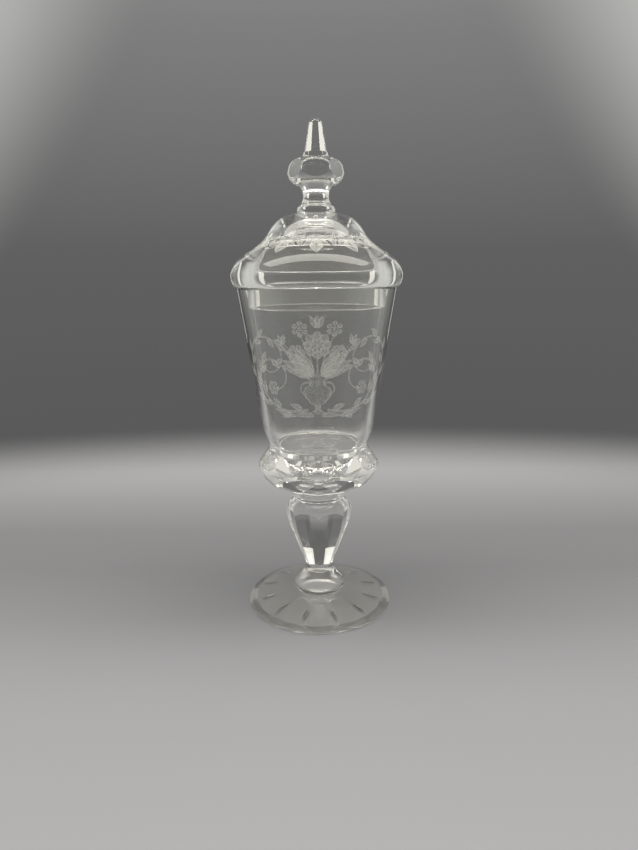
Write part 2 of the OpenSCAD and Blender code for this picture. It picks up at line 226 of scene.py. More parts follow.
# %% Lamps
LAMP_L, LAMP_WIDE, LAMP_Z = 1400 * MM, 300 * MM, 950 * MM
LAMP_W = 5.8
SCREEN_AWAY, SCREEN_BEARING = 1200 * MM, 28
SCREEN_WIDE, SCREEN_H = 170 * MM, 800 * MM
SCREEN_W = 0.33


def soft_lamp(name, place, aim, wide, high, watts):
    data = bpy.data.lights.new(name, "AREA")
    data.shape = "RECTANGLE"
    data.size, data.size_y = wide, high
    data.color = linear(ROOM_WHITE)[:3]
    data.energy = watts
    lamp = bpy.data.objects.new(name, data)
    bpy.context.scene.collection.objects.link(lamp)
    lamp.location = place
    lamp.rotation_euler = aim
    lamp.visible_camera = False


soft_lamp("long_lamp", (0, 0, LAMP_Z), (0, 0, 0), LAMP_L, LAMP_WIDE, LAMP_W)
for name, side in (("left_screen", -1), ("right_screen", 1)):
    bearing = math.radians(side * SCREEN_BEARING)
    soft_lamp(
        name, (SCREEN_AWAY * math.sin(bearing), SCREEN_AWAY * math.cos(bearing), SCREEN_H / 2),
        (math.radians(90), 0, math.radians(180) - bearing), SCREEN_WIDE, SCREEN_H, SCREEN_W)

# %% [markdown]
# Light crosses and mirrors in cut glass dozens of times before it leaves. Blender gives up after a few turns and
# paints black there, so its limits are raised.

# %% Light paths
LIGHT_TURNS = 48
paths = bpy.context.scene.cycles
paths.max_bounces = paths.glossy_bounces = paths.transmission_bounces = LIGHT_TURNS
paths.transparent_max_bounces = LIGHT_TURNS
print("light is followed through", paths.max_bounces, "turns")

# %% [markdown]
# ## Glass
# Crystal bends light a little more than window glass. Blown and fire-polished glass is never quite even, so a slow
# wave a couple of centimetres long runs through its surface and makes reflections swim. Ground and polished flats
# are even and mirror sharply, but keep a trace of the wheel. The foot is a little hazy from long use, so it catches
# light from above. Where two gathers melted together there is no surface at all, so those faces let light straight
# through: without this every joint would shine like a mirror inside the stem.

# %% Glass materials
CRYSTAL_IOR = 1.53
CRYSTAL_TINT = "#FEFEFC"
WAVE_MM = 22
WAVE_DEPTH_MM = 0.02
WHEEL_MM = 1.2
WHEEL_DEPTH_MM = 0.001
FOOT_CLARITY = 0.865


def crystal(name, clarity, grain_mm, depth_mm):
    material, tree = new_material(name)
    place = add_node(tree, "ShaderNodeTexCoord")
    wave = add_node(
        tree, "ShaderNodeTexNoise", Vector=place.outputs["Object"], Scale=1 / (grain_mm * MM), Detail=1.0)
    bump = add_node(
        tree, "ShaderNodeBump", Height=wave.outputs["Fac"], Strength=1.0, Distance=depth_mm * MM)
    surface = add_node(
        tree, "ShaderNodeBsdfPrincipled", Base_Color=linear(CRYSTAL_TINT), Roughness=0.0, IOR=CRYSTAL_IOR,
        Normal=bump.outputs["Normal"], Transmission_Weight=clarity)
    add_node(tree, "ShaderNodeOutputMaterial", Surface=surface.outputs["BSDF"])
    return material


fire_polished = crystal("fire_polished_crystal", 1.0, WAVE_MM, WAVE_DEPTH_MM)
wheel_polished = crystal("wheel_polished_crystal", 1.0, WHEEL_MM, WHEEL_DEPTH_MM)
worn_crystal = crystal("worn_crystal", FOOT_CLARITY, WAVE_MM, WAVE_DEPTH_MM)
fused_joint, tree = new_material("fused_joint")
clear = add_node(tree, "ShaderNodeBsdfPrincipled", Alpha=0.0)
add_node(tree, "ShaderNodeOutputMaterial", Surface=clear.outputs["BSDF"])
GLASS = (fire_polished, fused_joint, wheel_polished)
BLOWN, FUSED, GROUND = 0, 1, 2
print("glass:", [material.name for material in GLASS], worn_crystal.name)

# %% [markdown]
# ## Turning and grinding
# Every gather is round before it is cut, so each piece starts as a half outline in [radius, height] that is spun
# about the axis. Round stretches of the outline are cubic curves that are pulled into a corner.

# %% Outlines
TURN_STEPS = 192
CURVE_STEPS = 14
ROUND_PULL, FULL_PULL = 0.55, 0.7
MIDDLE_GAIN = 0.75


def at(radius, height):
    return Vector((radius, height))


def cubic(a, b, c, d):
    points = []
    for i in range(1, CURVE_STEPS + 1):
        t = i / CURVE_STEPS
        s = 1 - t
        points.append(s ** 3 * a + 3 * s * s * t * b + 3 * s * t * t * c + t ** 3 * d)
    return points


def bend(a, corner, b, pull=ROUND_PULL):
    return cubic(a, a + pull * (corner - a), b + pull * (corner - b), b)


def swell(a, b, middle_r):
    handle_r = (middle_r - (1 - MIDDLE_GAIN) * (a.x + b.x) / 2) / MIDDLE_GAIN
    third = (b.y - a.y) / 3
    return cubic(a, at(handle_r, a.y + third), at(handle_r, b.y - third), b)


def crossing(p, u, q, v):
    return p + u * ((q.x - p.x) * v.y - (q.y - p.y) * v.x) / (u.x * v.y - u.y * v.x)


def slope_run(degrees):
    return at(-math.cos(math.radians(degrees)), math.sin(math.radians(degrees)))


# %% [markdown]
# The outline is drawn by extruding one vertex from point to point, and the Spin operator turns it. Faces on a joint
# plane, inside the joint's radius, get the fused material. Points that fall together are welded, after the spin and
# after every cut, so a piece stays one closed skin and the next cut gives the same result each time.

# %% Spin an outline
WELD, TOUCH = 0.002 * MM, 0.01 * MM


def weld():
    bpy.ops.mesh.select_all(action="SELECT")
    bpy.ops.mesh.remove_doubles(threshold=WELD)
    bpy.ops.mesh.dissolve_degenerate(threshold=WELD)
    bpy.ops.mesh.select_all(action="SELECT")
    bpy.ops.mesh.delete_loose()


def spin_outline(name, base_z, outline, steps):
    bpy.ops.object.select_all(action="DESELECT")
    bpy.ops.mesh.primitive_plane_add(size=MM)
    piece = bpy.context.object
    piece.name = name
    bpy.ops.object.mode_set(mode="EDIT")
    bpy.ops.mesh.select_mode(type="VERT")
    bpy.ops.mesh.merge(type="COLLAPSE")
    start = outline[0]
    bpy.ops.transform.translate(value=(start.x * MM, 0, base_z + start.y * MM))
    for here, there in zip(outline, outline[1:]):
        step = (there - here) * MM
        bpy.ops.mesh.extrude_region_move(TRANSFORM_OT_translate={"value": (step.x, 0, step.y)})
    bpy.ops.mesh.select_all(action="SELECT")
    bpy.ops.mesh.spin(steps=steps, angle=math.tau, center=(0, 0, 0), axis=(0, 0, 1))
    weld()
    bpy.ops.mesh.normals_make_consistent(inside=False)
    bpy.ops.object.mode_set(mode="OBJECT")
    for material in GLASS:
        piece.data.materials.append(material)
    return piece


def turn(name, base_z, outline, joints):
    piece = spin_outline(name, base_z, outline, TURN_STEPS)
    for joint_z, inner_r, outer_r in joints:
        for face in piece.data.polygons:
            corners = [piece.data.vertices[i].co for i in face.vertices]
            level = all(abs(c.z - base_z - joint_z * MM) < TOUCH for c in corners)
            radii = [c.xy.length for c in corners]
            if level and min(radii) > inner_r * MM - TOUCH and max(radii) < outer_r * MM + TOUCH:
                face.material_index = FUSED
    return piece


# %% [markdown]
# A ring of flats is what stays when a round blank is ground against a many-sided hole. So the cutter is a heavy ring
# with a polygonal hole: the same Spin, with as many steps as there are flats. A Boolean modifier takes it away. Its
# faces carry the ground material, so the flats can be found again and their edges marked sharp.

# %% Grind flats
GRINDER_W = 60
RUN_OUT = 7
FLAT_OVERLAP = 0.15
FRONT = -90
SHARP_EDGE = 10


def corner_point(p):
    return p - at(FLAT_OVERLAP, 0)


def grind(piece, cutter):
    for face in cutter.data.polygons:
        face.material_index = GROUND
    bpy.ops.object.select_all(action="DESELECT")
    piece.select_set(True)
    bpy.context.view_layer.objects.active = piece
    cut = piece.modifiers.new("cut", "BOOLEAN")
    cut.operation = "DIFFERENCE"
    cut.solver = "EXACT"
    cut.object = cutter
    bpy.ops.object.modifier_apply(modifier=cut.name)
    bpy.data.objects.remove(cutter)
    bpy.ops.object.mode_set(mode="EDIT")
    weld()
    bpy.ops.object.mode_set(mode="OBJECT")


def grind_flats(piece, base_z, flats, lower, upper, turn_share=0.0, below=RUN_OUT):
    along = (upper - lower).normalized()
    low, high = lower - below * along, upper + RUN_OUT * along
    outer_r = max(low.x, high.x) + GRINDER_W
    ring = spin_outline("grinder", base_z, [low, at(outer_r, low.y), at(outer_r, high.y), high, low], flats)
    bearing = math.radians(FRONT + turn_share * 360 / flats)
    ring.data.transform(Matrix.Rotation(bearing, 4, "Z"))
    grind(piece, ring)


# %% [markdown]
# Finishing a piece is the same for all: the rims of the flats are marked sharp, the rest is shaded smooth, and the
# piece takes the place of its node and moves with its body.

# %% Finish a piece
def finish_piece(piece, body, node):
    bpy.ops.object.select_all(action="DESELECT")
    piece.select_set(True)
    bpy.context.view_layer.objects.active = piece
    if any(face.material_index == GROUND for face in piece.data.polygons):
        bpy.ops.object.mode_set(mode="EDIT")
        bpy.ops.mesh.select_mode(type="FACE")
        bpy.ops.mesh.select_all(action="DESELECT")
        piece.active_material_index = GROUND
        bpy.ops.object.material_slot_select()
        bpy.ops.mesh.region_to_loop()
        bpy.ops.mesh.mark_sharp()
        bpy.ops.object.mode_set(mode="OBJECT")
    bpy.ops.object.shade_smooth_by_angle(angle=math.radians(SHARP_EDGE), keep_sharp_edges=True)
    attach(piece, body)
    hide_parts(node)
    print(piece.name, "faces:", len(piece.data.polygons))


def base_of(node):
    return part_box(node)[0].z


def height_of(node):
    low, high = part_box(node)
    return (high.z - low.z) / MM


# %% [markdown]
# ## Foot
# The foot is a thin, slightly conical plate: it is hollow underneath and stands on its rim alone. Its edge is ground
# into a ring of narrow flats, which gives the rim its polygonal upper line, and a wheel has cut a ring of olives into
# its upper face. A bump in the material could hint at an olive, but only a real hollow bends light as a cut does. So
# one sphere is stretched to the shape of the wheel's touch, and a copy of it is taken away for each olive.

# %% Foot
FOOT_R = 47.5
FOOT_EDGE_H = 0.7
FOOT_RIM_W = 4.2
FOOT_RIM_H = 1.7
FOOT_STAND_W = 1.5
FOOT_HOLLOW_R, FOOT_HOLLOW_H = 15, 4.2
FOOT_FLATS = 24
OLIVES = 12
OLIVE_L, OLIVE_W, OLIVE_DEPTH, OLIVE_GAP = 11, 3.6, 0.5, 3
OLIVE_WHEEL_H = 1.2
OLIVE_SIDES, OLIVE_RINGS = 40, 20
KNOP_R = 16.7
KNOP_SWELL = 1.2

foot_z = base_of("foot")
foot_h = height_of("foot")
knop_edge_r = KNOP_R - KNOP_SWELL
rim_low = at(FOOT_R, FOOT_EDGE_H)
rim_top = at(FOOT_R - FOOT_RIM_W, FOOT_EDGE_H + FOOT_RIM_H)
foot_seat = at(KNOP_R, foot_h)
foot = turn(
    "foot_glass", foot_z,
    [at(0, FOOT_HOLLOW_H), at(FOOT_HOLLOW_R, FOOT_HOLLOW_H), at(FOOT_R - FOOT_STAND_W, 0), at(FOOT_R, 0), rim_low,
     rim_top, foot_seat, at(knop_edge_r, foot_h), at(0, foot_h)],
    [(foot_h, 0, knop_edge_r)])
olive_r = rim_top.x - OLIVE_GAP - OLIVE_L / 2
olive_h = rim_top.y + (foot_h - rim_top.y) * (rim_top.x - olive_r) / (rim_top.x - KNOP_R)
grind_flats(foot, foot_z, FOOT_FLATS, corner_point(rim_low), corner_point(rim_top))
sunk = math.sqrt(1 - (1 - OLIVE_DEPTH / OLIVE_WHEEL_H) ** 2)
slope = math.atan2(foot_h - rim_top.y, rim_top.x - KNOP_R)
size = Vector((OLIVE_L / 2 / sunk, OLIVE_W / 2 / sunk, OLIVE_WHEEL_H)) * MM
bpy.ops.object.select_all(action="DESELECT")
bpy.ops.mesh.primitive_uv_sphere_add(segments=OLIVE_SIDES, ring_count=OLIVE_RINGS, radius=1)
olive = bpy.context.object
olive.data.transform(
    Matrix.Translation(Vector((olive_r, 0, olive_h)) * MM + Vector((0, 0, foot_z)))
    @ Matrix.Rotation(slope, 4, "Y")
    @ Matrix.Translation(Vector((0, 0, OLIVE_WHEEL_H - OLIVE_DEPTH)) * MM)
    @ Matrix.Diagonal((*size, 1)))
for material in GLASS:
    olive.data.materials.append(material)
for i in range(OLIVES):
    wheel = olive.copy()
    wheel.data = olive.data.copy()
    bpy.context.scene.collection.objects.link(wheel)
    wheel.data.transform(Matrix.Rotation(math.radians(FRONT + (i + 0.5) * 360 / OLIVES), 4, "Z"))
    grind(foot, wheel)
bpy.data.objects.remove(olive)
foot.data.materials[BLOWN] = worn_crystal
finish_piece(foot, "goblet", "foot")

# %% [markdown]
# ## Knop and stem
# The knop under the stem has a plain ring and a faceted cone. Its flats go on in the stem, so both have the same
# number of them. The joint with the stem lies just inside the flats, so that the wheel does not cut into it.

# %% Foot knop
KNOP_RING_H = 7.5
WAIST_R = 8.8
STEM_FLATS = 8
JOINT_INSET = 0.05

knop_z = base_of("foot_knop")
knop_h = height_of("foot_knop")
waist_joint_r = (WAIST_R - FLAT_OVERLAP) * math.cos(math.pi / STEM_FLATS) - JOINT_INSET
ring_low = at(knop_edge_r, 0)
ring_top = at(knop_edge_r, KNOP_RING_H)
cone_top = at(WAIST_R, knop_h)
foot_knop = turn(
    "foot_knop_glass", knop_z,
    [at(0, 0), ring_low] + swell(ring_low, ring_top, KNOP_R)
    + [cone_top, at(waist_joint_r, knop_h), at(0, knop_h)],
    [(0, 0, knop_edge_r), (knop_h, 0, waist_joint_r)])
grind_flats(foot_knop, knop_z, STEM_FLATS, corner_point(ring_top), corner_point(cone_top))
finish_piece(foot_knop, "goblet", "foot_knop")

# %% [markdown]
# The stem is a solid baluster with long flats below a knee, short flats above it and a round shoulder. One corner
# between two flats faces the front. It is turned round and ground twice, because a wheel leaves exactly the edges
# that bend the light into bright strips.

# %% Stem
STEM_BASE_H, STEM_KNEE_H, STEM_BELLY_TOP_H = 3, 32.5, 42
STEM_KNEE_R = 20
STEM_BELLY_SWELL = 1.8
NECK_R = 15.7

stem_z = base_of("stem")
stem_h = height_of("stem")
stem_low = at(WAIST_R, STEM_BASE_H)
knee = at(STEM_KNEE_R, STEM_KNEE_H)
belly = at(STEM_KNEE_R + STEM_BELLY_SWELL, STEM_BELLY_TOP_H)
neck = at(NECK_R, stem_h)
stem = turn(
    "stem_glass", stem_z,
    [at(0, 0), at(waist_joint_r, 0), at(WAIST_R, 0), stem_low, knee]
    + bend(knee, at(belly.x, (knee.y + belly.y) / 2), belly)
    + bend(belly, at(belly.x, (belly.y + stem_h) / 2), neck)
    + [at(0, stem_h)],
    [(0, 0, waist_joint_r), (stem_h, 0, NECK_R)])
grind_flats(stem, stem_z, STEM_FLATS, corner_point(stem_low), corner_point(knee), below=0)
grind_flats(stem, stem_z, STEM_FLATS, corner_point(knee), corner_point(belly))
finish_piece(stem, "goblet", "stem")

# %% [markdown]
# A plain ring of glass joins the stem to the calyx. It is only turned, and no wheel touches it.

# %% Stem collar
COLLAR_SWELL = 1.2

collar_h = height_of("stem_collar")
stem_collar = turn(
    "stem_collar_glass", base_of("stem_collar"),
    [at(0, 0), at(NECK_R, 0)] + swell(at(NECK_R, 0), at(NECK_R, collar_h), NECK_R + COLLAR_SWELL)
    + [at(0, collar_h)],
    [(0, 0, NECK_R), (collar_h, 0, NECK_R)])
finish_piece(stem_collar, "goblet", "stem_collar")

# %% [markdown]
# ## Calyx
# The calyx is a heavy bulge of solid glass. Four rows of flats are ground into it, three below its widest place and
# one under the lip, and a smooth band stays between them. Each row is turned by half a step against the next, so
# their edges meet in points. Its top is a dish that carries the bowl.

# %% Calyx
CALYX_R = 39
CALYX_CONE_H, CALYX_WIDE_H, CALYX_SHOULDER_H = 6.5, 16, 24.5
CALYX_CONE_INSET, CALYX_SHOULDER_INSET, CALYX_LIP_INSET = 8.8, 3, 6
CALYX_LIP_W = 1.8
CALYX_DISH_DEPTH = 2.7
CALYX_FLATS = 12
BELLY_ROWS = (5, 9, 11)
CLEAR_OF_JOINT = 0.1
BOWL_SEAT_R = 26.5

calyx_z = base_of("calyx")
calyx_h = height_of("calyx")
wide = at(CALYX_R, CALYX_WIDE_H)
calyx_neck = at(NECK_R, 0)
cone = at(CALYX_R - CALYX_CONE_INSET, CALYX_CONE_H)
shoulder = at(CALYX_R - CALYX_SHOULDER_INSET, CALYX_SHOULDER_H)
lip = at(CALYX_R - CALYX_LIP_INSET, calyx_h)
dish_h = calyx_h - CALYX_DISH_DEPTH
upward = at(0, 1)
lower_bulge = bend(cone, crossing(cone, cone - calyx_neck, wide, upward), wide)
upper_bulge = bend(wide, crossing(shoulder, lip - shoulder, wide, upward), shoulder)
calyx = turn(
    "calyx_glass", calyx_z,
    [at(0, 0), calyx_neck, cone] + lower_bulge + upper_bulge
    + [lip, lip - at(CALYX_LIP_W, 0), at(BOWL_SEAT_R, dish_h), at(0, dish_h)],
    [(0, 0, NECK_R), (dish_h, 0, BOWL_SEAT_R)])
low_row, middle_row, high_row = (corner_point(lower_bulge[i]) for i in BELLY_ROWS)
neck_corner = at((NECK_R + CLEAR_OF_JOINT) / math.cos(math.pi / CALYX_FLATS), 0)
grind_flats(calyx, calyx_z, CALYX_FLATS, neck_corner, corner_point(cone))
grind_flats(calyx, calyx_z, CALYX_FLATS, low_row, middle_row, 0.5)
grind_flats(calyx, calyx_z, CALYX_FLATS, middle_row, high_row)
grind_flats(calyx, calyx_z, CALYX_FLATS, corner_point(shoulder), corner_point(lip), 0.5)
finish_piece(calyx, "goblet", "calyx")

# %% [markdown]
# ## Bowl
# The bowl is a tall cup with a thick wall. It draws in towards a rounded bottom, and its rim is ground flat with
# softened edges.

# %% Bowl
BOWL_RIM_R = 48.5
BOWL_TAPER = 13.1
BOWL_ROUND_H = 19
BOWL_ROUND_SLOPE = 50
BOWL_WALL = 4
BOWL_FLOOR = 5.5
BOWL_CORNER_R = 25.8
BOWL_CORNER_ROUND = 2.5
BOWL_INSIDE_RUN = 6
RIM_EDGE_R = 0.8

bowl_z = base_of("bowl")
bowl_h = height_of("bowl")
bowl_seat = at(BOWL_SEAT_R, 0)
bowl_low = at(BOWL_RIM_R - BOWL_TAPER, BOWL_ROUND_H)
bowl_rim = at(BOWL_RIM_R, bowl_h)
wall_run = at(BOWL_TAPER / (bowl_h - BOWL_ROUND_H), 1)
seat_run = at(math.cos(math.radians(BOWL_ROUND_SLOPE)), math.sin(math.radians(BOWL_ROUND_SLOPE)))
edge_in, edge_down = at(RIM_EDGE_R, 0), RIM_EDGE_R * wall_run
in_low, in_rim = bowl_low - at(BOWL_WALL, 0), bowl_rim - at(BOWL_WALL, 0)
in_bend = in_low - BOWL_INSIDE_RUN * wall_run
floor_corner = at(BOWL_CORNER_R, BOWL_FLOOR)
corner_top = floor_corner + BOWL_CORNER_ROUND * (in_bend - floor_corner).normalized()
corner_foot = floor_corner - at(BOWL_CORNER_ROUND, 0)
bowl = turn(
    "bowl_glass", bowl_z,
    [at(0, 0), bowl_seat]
    + bend(bowl_seat, crossing(bowl_seat, seat_run, bowl_low, wall_run), bowl_low)
    + [bowl_rim - edge_down] + bend(bowl_rim - edge_down, bowl_rim, bowl_rim - edge_in)
    + [in_rim + edge_in] + bend(in_rim + edge_in, in_rim, in_rim - edge_down)
    + [in_low] + bend(in_low, in_bend, corner_top) + bend(corner_top, floor_corner, corner_foot)
    + [at(0, BOWL_FLOOR)],
    [(0, 0, BOWL_SEAT_R)])
finish_piece(bowl, "goblet", "bowl")

# %% [markdown]
# ## Lid
# The lid is a hollow dome with a heavy rolled rim. It only lies on the bowl, so a hair of air is left under the rim:
# two glass faces in exactly one plane would confuse the light.

# %% Lid
LID_OVERHANG = 3.5
LID_ROLL_H, LID_RIM_TOP_H, LID_WAIST_H = 7, 20.6, 28.6
LID_RIM_INSET, LID_FLARE_INSET = 11.5, 10.1
LID_FLARE_SLOPE, LID_WAIST_SLOPE = 28, 61
LID_WALL = 3.4
LID_AIR = 0.08
FINIAL_SEAT_R = 11
FLANGE_DEPTH, FLANGE_WALL, FLANGE_EDGE_R, FLANGE_CLEARANCE = 12, 3.5, 1, 0.6

lid_z = base_of("lid")
lid_h = height_of("lid")
flange_r = BOWL_RIM_R - BOWL_WALL - wall_run.x * FLANGE_DEPTH - FLANGE_CLEARANCE
flange_in_r = flange_r - FLANGE_WALL
roll = at(BOWL_RIM_R + LID_OVERHANG, LID_ROLL_H)
flare = at(roll.x - LID_RIM_INSET, LID_RIM_TOP_H)
lid_waist = at(flare.x - LID_FLARE_INSET, LID_WAIST_H)
lid_top = at(FINIAL_SEAT_R, lid_h)
flare_run, waist_run = slope_run(LID_FLARE_SLOPE), slope_run(LID_WAIST_SLOPE)
flare_in = flare - LID_WALL * at(flare_run.y, -flare_run.x)
waist_in = lid_waist - LID_WALL * at(waist_run.y, -waist_run.x)
top_in = at(0, lid_h - LID_WALL)
wall_in = at(flange_in_r, LID_ROLL_H)
lid_edge = at(BOWL_RIM_R, LID_AIR)
lid_outside = (
    bend(lid_edge, at(roll.x, LID_AIR), roll)
    + bend(roll, crossing(roll, upward, flare, flare_run), flare)
    + bend(flare, crossing(flare, flare_run, lid_waist, waist_run), lid_waist)
    + bend(lid_waist, crossing(lid_waist, waist_run, lid_top, at(1, 0)), lid_top, FULL_PULL))
lid = turn(
    "lid_glass", lid_z,
    [at(flange_in_r, LID_AIR), at(flange_r, LID_AIR), lid_edge] + lid_outside + [at(0, lid_h), top_in]
    + bend(top_in, crossing(waist_in, waist_run, top_in, at(1, 0)), waist_in, FULL_PULL)
    + bend(waist_in, crossing(wall_in, upward, flare_in, flare_run), wall_in)
    + [at(flange_in_r, LID_AIR)],
    [(LID_AIR, flange_in_r, flange_r), (lid_h, 0, FINIAL_SEAT_R)])
finish_piece(lid, "lid", "lid")

# %% [markdown]
# A ring under the lid reaches into the bowl and keeps the lid in its place. Its lower edge is softened, and the line
# of it shows through the bowl. Its top melts into the lid, so those faces are fused.

# %% Lid flange
flange_z = base_of("lid_flange")
flange_top = FLANGE_DEPTH + LID_AIR
flange_in, flange_out = at(flange_in_r, 0), at(flange_r, 0)
across, up = at(FLANGE_EDGE_R, 0), at(0, FLANGE_EDGE_R)
lid_flange = turn(
    "lid_flange_glass", flange_z,
    [flange_in + up] + bend(flange_in + up, flange_in, flange_in + across)
    + [flange_out - across] + bend(flange_out - across, flange_out, flange_out + up)
    + [at(flange_r, flange_top), at(flange_in_r, flange_top), flange_in + up],
    [(flange_top, flange_in_r, flange_r)])
finish_piece(lid_flange, "lid", "lid_flange")

# %% [markdown]
# ## Finial
# A narrow ring joins the dome to the finial. It is wider below than above, and swells a little between.

# %% Lid collar
LID_COLLAR_SWELL = 1.2
FINIAL_BASE_R = 9

lid_collar_h = height_of("lid_collar")
collar_low, collar_high = at(FINIAL_SEAT_R, 0), at(FINIAL_BASE_R, lid_collar_h)
lid_collar = turn(
    "lid_collar_glass", base_of("lid_collar"),
    [at(0, 0), collar_low]
    + swell(collar_low, collar_high, (FINIAL_SEAT_R + FINIAL_BASE_R) / 2 + LID_COLLAR_SWELL)
    + [at(0, lid_collar_h)],
    [(0, 0, FINIAL_SEAT_R), (lid_collar_h, 0, FINIAL_BASE_R)])
finish_piece(lid_collar, "lid", "lid_collar")

# %% [markdown]
# Above a drawn-in neck sits a flattened knop. Its few large flats lean inwards and each leaves an oval on the round
# glass, so one leaning ring of flats is enough.

# %% Finial knop
FINIAL_NECK_R, FINIAL_NECK_TOP_R, FINIAL_KNOP_R = 7.5, 10, 16.5
FINIAL_NECK_H = 10.8
FINIAL_FLATS = 6
FINIAL_LEAN = 12
SPIRE_R = 8

finial_z = base_of("finial_knop")
finial_h = height_of("finial_knop")
finial_base = at(FINIAL_BASE_R, 0)
neck_top = at(FINIAL_NECK_TOP_R, FINIAL_NECK_H)
knop_wide = at(FINIAL_KNOP_R, (FINIAL_NECK_H + finial_h) / 2)
knop_top = at(SPIRE_R, finial_h)
finial_knop = turn(
    "finial_knop_glass", finial_z,
    [at(0, 0), finial_base] + swell(finial_base, neck_top, FINIAL_NECK_R)
    + bend(neck_top, at(knop_wide.x, neck_top.y), knop_wide)
    + bend(knop_wide, at(knop_wide.x, finial_h), knop_top)
    + [at(0, finial_h)],
    [(0, 0, FINIAL_BASE_R), (finial_h, 0, SPIRE_R)])
flat_middle = corner_point(knop_wide)
lean = math.radians(FINIAL_LEAN)
lean_run = at(-math.sin(lean) / math.cos(math.pi / FINIAL_FLATS), math.cos(lean))
grind_flats(finial_knop, finial_z, FINIAL_FLATS, flat_middle, flat_middle + lean_run, 0.5)
finish_piece(finial_knop, "lid", "finial_knop")

# %% [markdown]
# The finial ends in a slender point. Its flats stop above a small round root, and its tip stays round.

# %% Finial spire
SPIRE_ROOT_H, SPIRE_SHAFT_H = 3, 13.4
SPIRE_ROOT_INSET, SPIRE_SHAFT_INSET = 1, 2.4
SPIRE_FLATS = 8

spire_z = base_of("finial_spire")
spire_h = height_of("finial_spire")
spire_root = at(SPIRE_R - SPIRE_ROOT_INSET, SPIRE_ROOT_H)
spire_tip = at(spire_root.x - SPIRE_SHAFT_INSET, SPIRE_ROOT_H + SPIRE_SHAFT_H)
spire_top = at(0, spire_h)
finial_spire = turn(
    "finial_spire_glass", spire_z,
    [at(0, 0), at(SPIRE_R, 0), spire_root, spire_tip]
    + bend(spire_tip, crossing(spire_root, spire_tip - spire_root, spire_top, at(1, 0)), spire_top, FULL_PULL),
    [(0, 0, SPIRE_R)])
grind_flats(finial_spire, spire_z, SPIRE_FLATS, corner_point(spire_root), corner_point(spire_tip), 0.5, 0)
finish_piece(finial_spire, "lid", "finial_spire")

# %% [markdown]
# ## Engraving
# The engraver holds the glass against small copper wheels that are fed with grit. Every touch leaves one matte
# stroke, and leaves and petals are groups of strokes. The ground glass scatters light, so it looks grey-white and
# half clear, thinner along the middle of a stroke, where the wheel ran deepest. Its edge is painted denser and
# whiter, a painted highlight where the wall of the cut catches the light. Real grit is much finer: it is drawn as
# coarse as it needs to be to show.

# %% Matte finish
MATTE_WHITE, MATTE_ROUGH, MATTE_COVER = "#F4F4F0", 0.85, 0.78
GRIT_MM, GRIT_THIN = 0.9, 0.45

matte_engraving, tree = new_material("matte_engraving")
place = add_node(tree, "ShaderNodeTexCoord")
along_across = add_node(tree, "ShaderNodeSeparateXYZ", Vector=place.outputs["UV"])
off_middle = add_node(tree, "ShaderNodeMath", {"operation": "SUBTRACT"}, _0=along_across.outputs["Y"], _1=0.5)
to_edge = add_node(tree, "ShaderNodeMath", {"operation": "ABSOLUTE"}, _0=off_middle.outputs["Value"])
edge_share = add_node(
    tree, "ShaderNodeMapRange", Value=to_edge.outputs["Value"], From_Min=0.0, From_Max=0.5, To_Min=0.0, To_Max=1.0)
# Cover across a stroke: thin along the middle, where the wheel ran deepest, and rising to full white at the edge, a
# painted highlight where the wall of the cut catches the light.
cover_and_edge_highlight = add_node(tree, "ShaderNodeValToRGB", Fac=edge_share.outputs["Result"])
set_ramp(cover_and_edge_highlight.color_ramp, [(0.0, "#808080"), (0.15, "#C0C0C0"), (0.75, "#C8C8C8"), (1.0, "#FFFFFF")])
grit = add_node(tree, "ShaderNodeTexNoise", Vector=place.outputs["Object"], Scale=1 / (GRIT_MM * MM), Detail=2.0)
patchy = add_node(
    tree, "ShaderNodeMapRange", Value=grit.outputs["Fac"], From_Min=0.3, From_Max=0.7, To_Min=GRIT_THIN,
    To_Max=1.0)
grit_and_edge_highlight = add_node(
    tree, "ShaderNodeMath", {"operation": "MULTIPLY"}, _0=cover_and_edge_highlight.outputs["Color"], _1=patchy.outputs["Result"])
cover = add_node(tree, "ShaderNodeMath", {"operation": "MULTIPLY"}, _0=grit_and_edge_highlight.outputs["Value"], _1=MATTE_COVER)
ground_glass = add_node(
    tree, "ShaderNodeBsdfPrincipled", Base_Color=linear(MATTE_WHITE), Roughness=MATTE_ROUGH,
    Alpha=cover.outputs["Value"])
add_node(tree, "ShaderNodeOutputMaterial", Surface=ground_glass.outputs["BSDF"])
print("engraving finish:", matte_engraving.name)

# %% [markdown]
# A stroke is a thin strip: a flat grid whose middle follows a path and whose width follows a shape. The blank strip
# is added once and copied. The picture is laid out flat in millimetres, as on the engraver's paper. Each strip lies
# a few thousandths of a millimetre higher than the last, so that two of them never share one plane.

# %% One stroke of the wheel
SHORT_STEPS, LONG_STEPS = 16, 48
LIFT, LIFT_STEP, LIFT_COUNT = 0.03, 0.005, 8
strokes = []


def blank_strip(steps):
    bpy.ops.object.select_all(action="DESELECT")
    bpy.ops.mesh.primitive_grid_add(x_subdivisions=steps, y_subdivisions=2, size=1)
    strip = bpy.context.object
    strip.data.materials.append(matte_engraving)
    return strip


blanks = {steps: blank_strip(steps) for steps in (SHORT_STEPS, LONG_STEPS)}


def trail(start, heading, length, curl=0.0, tighten=0.0, steps=SHORT_STEPS):
    points = [start]
    for i in range(steps):
        share = (i + 0.5) / steps
        bearing = math.radians(heading + curl * share + tighten * share * share)
        points.append(points[-1] + length / steps * at(math.cos(bearing), math.sin(bearing)))
    return points


